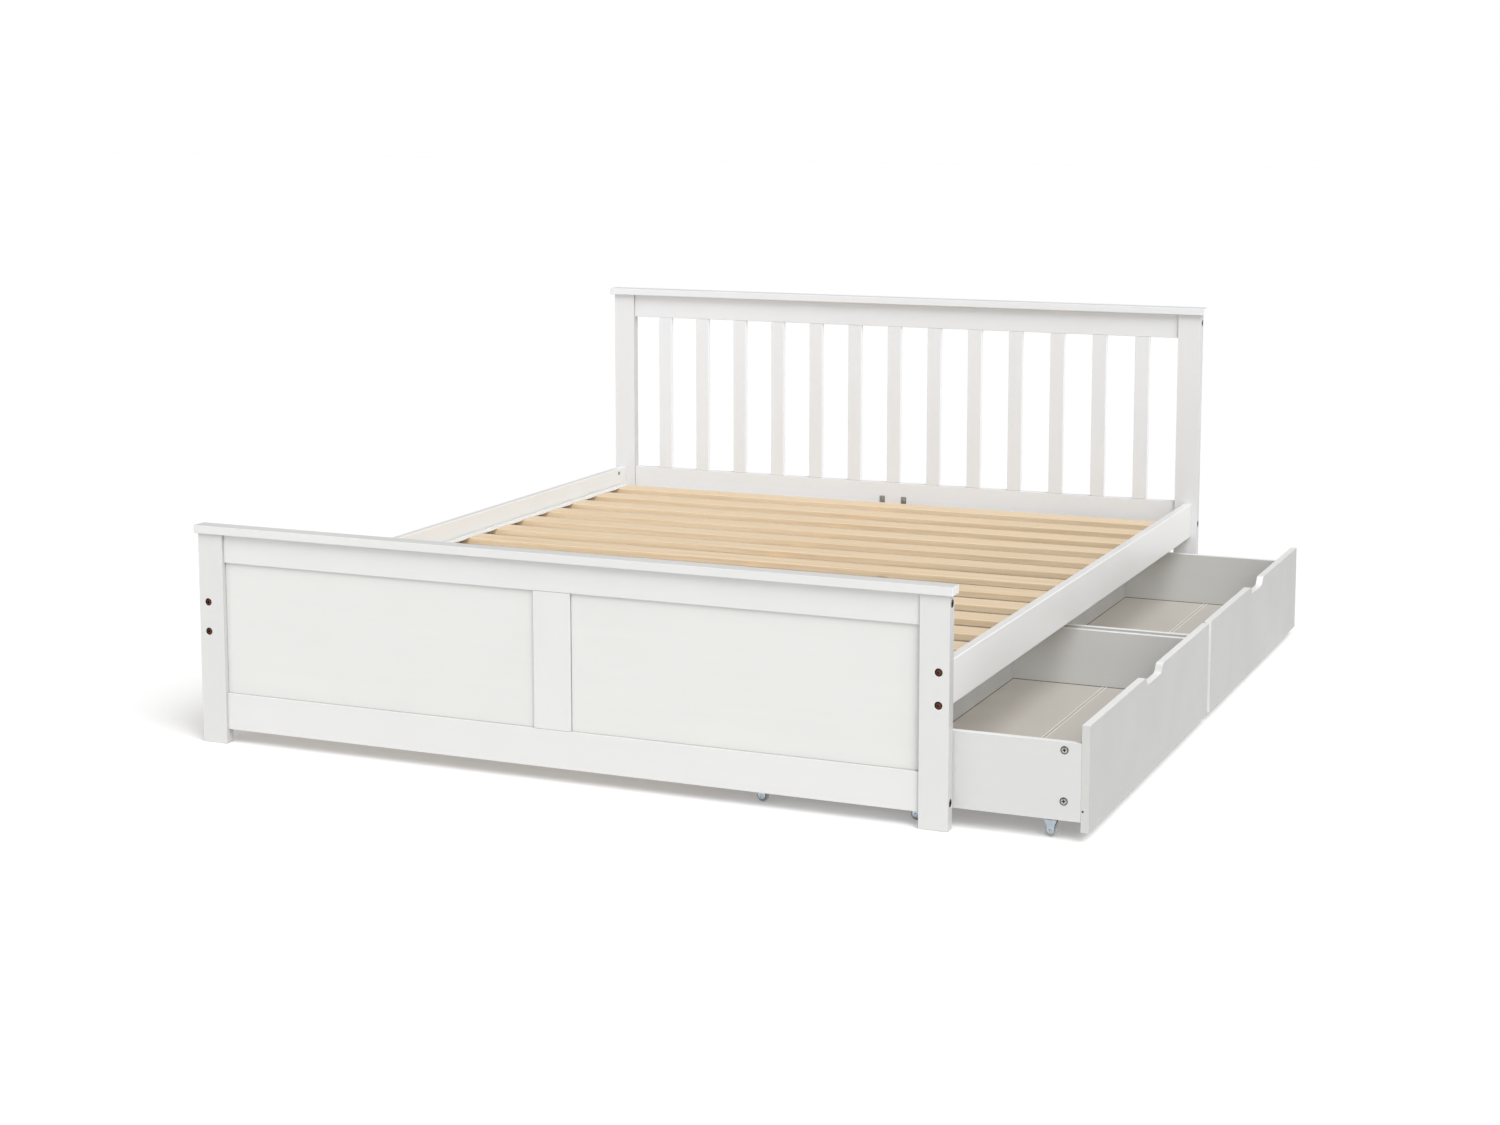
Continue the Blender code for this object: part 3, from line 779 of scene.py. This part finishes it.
PLATE_HALF_X, PLATE_HALF_Y, PLATE_T = 0.0150, 0.0112, 0.0015
NECK_HALF_X, NECK_HALF_Y, CROWN_TOP_Z, CROWN_T = 0.0100, 0.0062, 0.0229, 0.0014
FORK_HALF_X, FORK_WAIST_X, FORK_WAIST_Z = 0.0118, 0.0075, 0.0095
CHEEK_INNER, CHEEK_T, RIVET_R = 0.0065, 0.0014, 0.0038
CHEEK_SHOULDER, CHEEK_END_Z, CHEEK_END_R, CHEEK_END_STEPS = 0.002, 0.001, 0.0065, 12
SCREW_INSET_X, SCREW_INSET_Y = 0.0019, 0.0026


def turned_at(work, profile, steps, matrix):
    """Adds a turned shape and moves it, and nothing else, to where the matrix says."""
    before = set(work.verts)
    turned_into(work, profile, steps)
    added = [vert for vert in work.verts if vert not in before]
    bmesh.ops.transform(work, matrix=matrix, verts=added)


def cheek_outline():
    """One cheek of the fork: square shoulders, a waist, and a round end under the axle."""
    shoulder = CROWN_TOP_Z - CROWN_T
    flank = [
        (-FORK_HALF_X, shoulder), (-FORK_HALF_X, shoulder - CHEEK_SHOULDER),
        (-FORK_WAIST_X, FORK_WAIST_Z), (-FORK_WAIST_X, CHEEK_END_Z)]
    end = []
    for step in range(1, CHEEK_END_STEPS):
        angle = math.pi * (1 + step / CHEEK_END_STEPS)
        end.append((FORK_WAIST_X * math.cos(angle), CHEEK_END_Z + CHEEK_END_R * math.sin(angle)))
    return flank + end + [(-x, z) for x, z in reversed(flank)]


def fork_mesh(plate_top):
    """A castor bracket drawn round its axle: plate, neck, crown, two cheeks, hollow rivets and screws."""
    work = bmesh.new()
    under, crown_under, reach_y = plate_top - PLATE_T, CROWN_TOP_Z - CROWN_T, CHEEK_INNER + CHEEK_T
    box_into(work, (-PLATE_HALF_X, -PLATE_HALF_Y, under), (PLATE_HALF_X, PLATE_HALF_Y, plate_top), 0.0005)
    box_into(work, (-NECK_HALF_X, -NECK_HALF_Y, CROWN_TOP_Z), (NECK_HALF_X, NECK_HALF_Y, under))
    box_into(work, (-FORK_HALF_X, -reach_y, crown_under), (FORK_HALF_X, reach_y, CROWN_TOP_Z), 0.0004)
    outline = cheek_outline()
    rivet = [
        (0.0, 0.0004), (RIVET_R * 0.45, 0.0004), (RIVET_R * 0.55, 0.0012),
        (RIVET_R * 0.85, 0.0010), (RIVET_R, 0.0)]
    for sign in (-1, 1):
        near = [work.verts.new((x, sign * CHEEK_INNER, z)) for x, z in outline]
        far = [work.verts.new((x, sign * reach_y, z)) for x, z in outline]
        work.faces.new(near)
        work.faces.new(list(reversed(far)))
        for i in range(len(outline)):
            j = (i + 1) % len(outline)
            work.faces.new([near[i], far[i], far[j], near[j]])
        turned_at(work, rivet, 24, facing((0, sign * reach_y, 0), (0, sign, 0)))
    screw = [(0.0, 0.0), (0.0016, 0.0), (0.0013, 0.0006), (0.0, 0.0008)]
    for x in (-1, 1):
        for y in (-1, 1):
            at = (x * (PLATE_HALF_X - SCREW_INSET_X), y * (PLATE_HALF_Y - SCREW_INSET_Y), under)
            turned_at(work, screw, 16, facing(at, (0, 0, -1)))
    return mesh_of(work, "castor_fork", 35)


def wheel_mesh(radius, half_width):
    """A moulded wheel turned about Y: crowned tread, dished sides and a raised hub."""
    side = [
        (0.0, half_width * 1.35), (0.0027, half_width * 1.35), (0.0027, half_width * 1.02),
        (0.0050, half_width * 1.0), (0.0054, half_width * 0.62), (radius * 0.70, half_width * 0.58),
        (radius * 0.76, half_width * 0.90), (radius * 0.90, half_width * 0.94),
        (radius * 0.975, half_width * 0.66), (radius, half_width * 0.22)]
    profile = side + [(r, -w) for r, w in reversed(side)]
    mesh = turned_mesh("castor_wheel", profile, 48, 30)
    mesh.transform(Matrix.Rotation(math.radians(90), 4, "X"))
    return mesh


MIDDLE_CASTOR_X, WHEEL_HALF_W = 0.7778, 0.0045


def build_castors():
    """Three castors along each side of a drawer; the middle ones have no CAD node and ride on the drawer."""
    low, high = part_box(DRAWERS[0] + "_castor_front_near_wheel")
    _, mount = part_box(DRAWERS[0] + "_castor_front_near_fork")
    radius = (high.z - low.z) / 2
    fork, wheel = fork_mesh(mount.z - radius), wheel_mesh(radius, WHEEL_HALF_W)
    for drawer in DRAWERS:
        for side in ("near", "far"):
            low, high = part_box(f"{drawer}_castor_front_{side}_wheel")
            axle_y = (low.y + high.y) / 2
            for place in ("front", "middle", "rear"):
                stem = f"{drawer}_castor_{place}_{side}"
                spins = place != "middle"
                x = MIDDLE_CASTOR_X
                if spins:
                    low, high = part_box(stem + "_wheel")
                    x = (low.x + high.x) / 2
                at = Matrix.Translation((x, axle_y, radius))
                fork_node = (stem + "_fork",) if spins else ()
                wheel_node = (stem + "_wheel",) if spins else ()
                placed(stem + "_bracket", fork, at, ZINC, drawer, fork_node)
                wheel_body = stem + "_wheel_body" if spins else drawer
                placed(stem + "_roller", wheel, at, WHEEL, wheel_body, wheel_node)


NUT_R, NUT_SLOT_HALF_L, NUT_SLOT_HALF_W, NUT_FROM_END = 0.0050, 0.0040, 0.0007, 0.050
LEDGE_SCREW_R, LEDGE_SCREWS, LEDGE_SCREW_FROM_END = 0.0042, 7, 0.12


def barrel_nut_mesh():
    """The slotted end of a barrel nut, flush with the inside of a side rail."""
    nut = turned_mesh("barrel_nut", [
        (0.0, -0.0004), (NUT_R, -0.0004), (NUT_R, 0.0002), (0.0044, 0.0004), (0.0, 0.0004)], 28)
    near = (-NUT_SLOT_HALF_L, -NUT_SLOT_HALF_W, -0.0002)
    slot = box_mesh("slot_tool", near, (NUT_SLOT_HALF_L, NUT_SLOT_HALF_W, 0.01))
    mesh = carved(nut, [(slot, Matrix.Identity(4))])
    mesh.name = "barrel_nut"
    return mesh


def build_frame_fittings():
    """Barrel nuts in the side rails, and the screws that hold the ledges to them."""
    nut, screw = barrel_nut_mesh(), screw_mesh("ledge_screw", LEDGE_SCREW_R)
    for side, sign in (("left", -1), ("right", 1)):
        inward = (-sign, 0, 0)
        rail_low, rail_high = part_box("side_rail_" + side)
        inner_x = rail_low.x if sign > 0 else rail_high.x
        for end, y in (("foot", rail_low.y + NUT_FROM_END), ("head", rail_high.y - NUT_FROM_END)):
            matrix = facing((inner_x, y, RAIL_BOLT_Z[0]), inward)
            placed(f"rail_nut_{side}_{end}", nut, matrix, BRONZE, "frame")
        ledge_low, ledge_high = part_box("slat_ledge_" + side)
        ledge_x = ledge_low.x if sign > 0 else ledge_high.x
        first_y = ledge_low.y + LEDGE_SCREW_FROM_END
        step = (ledge_high.y - LEDGE_SCREW_FROM_END - first_y) / (LEDGE_SCREWS - 1)
        for number in range(LEDGE_SCREWS):
            point = (ledge_x, first_y + number * step, (ledge_low.z + ledge_high.z) / 2)
            name = f"ledge_screw_{side}_{number + 1}"
            placed(name, screw, facing(point, inward), NICKEL, "frame")


HANGER_T, HANGER_REACH, HANGER_EAR, HANGER_SLACK = 0.0015, 0.034, 0.015, 0.0002
BEAM_H, HANGER_HEAD_EAR_Z = 0.060, (0.2485, 0.290)


def hanger_mesh(face_y, inward, ear_z):
    """A folded steel cradle for one end of the beam: floor, two cheeks and two screwed ears."""
    _, beam_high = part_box("centre_support")
    half, bottom = beam_high.x + HANGER_SLACK, beam_high.z - BEAM_H
    outer = half + HANGER_T
    work = bmesh.new()
    y_low, y_high = sorted((face_y, face_y + inward * HANGER_REACH))
    floor_low = (-outer, y_low, bottom - HANGER_T - HANGER_SLACK)
    box_into(work, floor_low, (outer, y_high, bottom - HANGER_SLACK), 0.0004, 1)
    for sign in (-1, 1):
        x_low, x_high = sorted((sign * half, sign * outer))
        box_into(work, (x_low, y_low, bottom - HANGER_T), (x_high, y_high, beam_high.z - 0.006), 0.0004, 1)
        x_low, x_high = sorted((sign * outer, sign * (outer + HANGER_EAR)))
        ear_low, ear_high = sorted((face_y, face_y + inward * HANGER_T))
        box_into(work, (x_low - HANGER_SLACK, ear_low, ear_z[0]), (x_high, ear_high, ear_z[1]), 0.0004, 1)
        for z in (ear_z[0] + 0.010, ear_z[1] - 0.010):
            at = (sign * (outer + HANGER_EAR / 2), face_y + inward * HANGER_T, z)
            screw_head = [(0.0, 0.0), (0.0036, 0.0), (0.0028, 0.0010), (0.0, 0.0014)]
            turned_at(work, screw_head, 20, facing(at, (0, inward, 0)))
    return mesh_of(work, "beam_hanger", 35)


def build_beam_hangers():
    """One hanger under each end of the middle beam."""
    beam_low, beam_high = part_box("centre_support")
    foot_ear_z = (beam_high.z - BEAM_H + 0.004, beam_high.z - 0.004)
    for end, face_y, inward, ear_z in (
            ("foot", beam_low.y, 1, foot_ear_z), ("head", beam_high.y, -1, HANGER_HEAD_EAR_Z)):
        hanger = hanger_mesh(face_y, inward, ear_z)
        add_piece(f"beam_hanger_{end}", hanger, ZINC, "frame")


# ---- floor, light and camera -----------------------------------------------------------
WHITE = (1.0, 1.0, 1.0, 1.0)
FLOOR_DIM, FLOOR_LIGHT, FLOOR_GLOW = (0.70, 0.70, 0.70), (0.715, 0.715, 0.715), 0.20
FLOOR_REACH, FLOOR_DROP = 40.0, 0.0005
WORLD_LEFT, WORLD_RIGHT = 0.34, 0.89
SUN_DIRECTION, SUN_ANGLE, SUN_STRENGTH = (-0.6, 0.6, -1.0), 40, 2.72
CAMERA_PLACE, CAMERA_TILT, CAMERA_YAW = (2.3467, -5.4612, 1.4214), -7.416, 23.246
CAMERA_LENS, CAMERA_SENSOR, CAMERA_SHIFT = 59.78, 36.0, -0.1


def floor_material():
    """Matt white paper that glows a little, so that the shadows on it stay faint."""
    material, tree, shader, place = new_material("studio_floor")
    cloud = noise(tree, place, 0.6, 2.0, 0.5)
    tree.links.new(tones(tree, cloud, (0.3, FLOOR_DIM), (0.7, FLOOR_LIGHT)), shader.inputs["Base Color"])
    shader.inputs["Roughness"].default_value = 0.9
    shader.inputs["Specular IOR Level"].default_value = 0.1
    shader.inputs["Emission Color"].default_value = WHITE
    shader.inputs["Emission Strength"].default_value = FLOOR_GLOW
    return material


def build_floor():
    """One large flat sheet just under the bed's feet."""
    mesh = bpy.data.meshes.new("studio_floor")
    corners = [(x * FLOOR_REACH, y * FLOOR_REACH, 0) for x, y in ((-1, -1), (1, -1), (1, 1), (-1, 1))]
    mesh.from_pydata(corners, [], [(0, 1, 2, 3)])
    mesh.materials.append(floor_material())
    obj = bpy.data.objects.new("studio_floor", mesh)
    obj.location.z = -FLOOR_DROP
    bpy.context.scene.collection.objects.link(obj)


def add_area_light(name, location, target, size, power):
    """A rectangular lamp aimed at a point, out of the camera's sight."""
    light = bpy.data.lights.new(name, "AREA")
    light.shape = "RECTANGLE"
    light.size, light.size_y = size
    light.energy = power
    obj = bpy.data.objects.new(name, light)
    obj.location = location
    obj.rotation_euler = (Vector(target) - Vector(location)).to_track_quat("-Z", "Y").to_euler()
    obj.visible_camera = False
    bpy.context.scene.collection.objects.link(obj)


def add_sun(name, direction, angle, strength):
    """A wide sun, which lights like a softbox far away; its angle is in degrees."""
    light = bpy.data.lights.new(name, "SUN")
    light.energy = strength
    light.angle = math.radians(angle)
    obj = bpy.data.objects.new(name, light)
    obj.rotation_euler = Vector(direction).to_track_quat("-Z", "Y").to_euler()
    bpy.context.scene.collection.objects.link(obj)


def build_world():
    """A white surround that gives more light from the drawer side."""
    world = bpy.data.worlds.new("studio")
    world.use_nodes = True
    tree = world.node_tree
    soft = tree.nodes["Background"]
    place = tree.nodes.new("ShaderNodeTexCoord").outputs["Generated"]
    split = tree.nodes.new("ShaderNodeSeparateXYZ")
    tree.links.new(place, split.inputs["Vector"])
    strength = spread(tree, split.outputs["X"], WORLD_LEFT, WORLD_RIGHT, -0.1, 0.8)
    tree.links.new(strength, soft.inputs["Strength"])
    soft.inputs["Color"].default_value = WHITE
    seen = tree.nodes.new("ShaderNodeBackground")
    seen.inputs["Color"].default_value = WHITE
    seen.inputs["Strength"].default_value = 1.0
    ray = tree.nodes.new("ShaderNodeLightPath")
    choose = tree.nodes.new("ShaderNodeMixShader")
    tree.links.new(ray.outputs["Is Camera Ray"], choose.inputs["Fac"])
    tree.links.new(soft.outputs["Background"], choose.inputs[1])
    tree.links.new(seen.outputs["Background"], choose.inputs[2])
    tree.links.new(choose.outputs["Shader"], tree.nodes["World Output"].inputs["Surface"])
    bpy.context.scene.world = world


def build_light():
    """A wide sun from the front right, and two soft lamps in front."""
    build_world()
    add_sun("softbox", SUN_DIRECTION, SUN_ANGLE, SUN_STRENGTH)
    add_area_light("near_right", (3.2, -3.4, 1.4), (1.0, -0.8, 0.2), (1.2, 1.2), 15.0)
    add_area_light("front_left", (-2.8, -3.8, 2.1), (-0.1, -0.9, 0.25), (2.0, 1.6), 22.0)


def build_camera():
    """From the front right, a little above the headboard, with the bed low in the lens's view."""
    camera = bpy.data.cameras.new("photo_view")
    camera.lens = CAMERA_LENS
    camera.sensor_width = CAMERA_SENSOR
    camera.shift_y = CAMERA_SHIFT
    obj = bpy.data.objects.new("photo_view", camera)
    obj.location = CAMERA_PLACE
    obj.rotation_euler = (math.radians(90.0 + CAMERA_TILT), 0.0, math.radians(CAMERA_YAW))
    bpy.context.scene.collection.objects.link(obj)
    bpy.context.scene.camera = obj


dress_cad_boards()
build_posts()
build_slats()
build_drawer_fittings()
build_joint_strips()
build_groove_shadows()
build_footboard_seam_shadows()
build_castors()
build_frame_fittings()
build_beam_hangers()
build_floor()
build_light()
build_camera()
bpy.context.scene.view_settings.view_transform = "Standard"
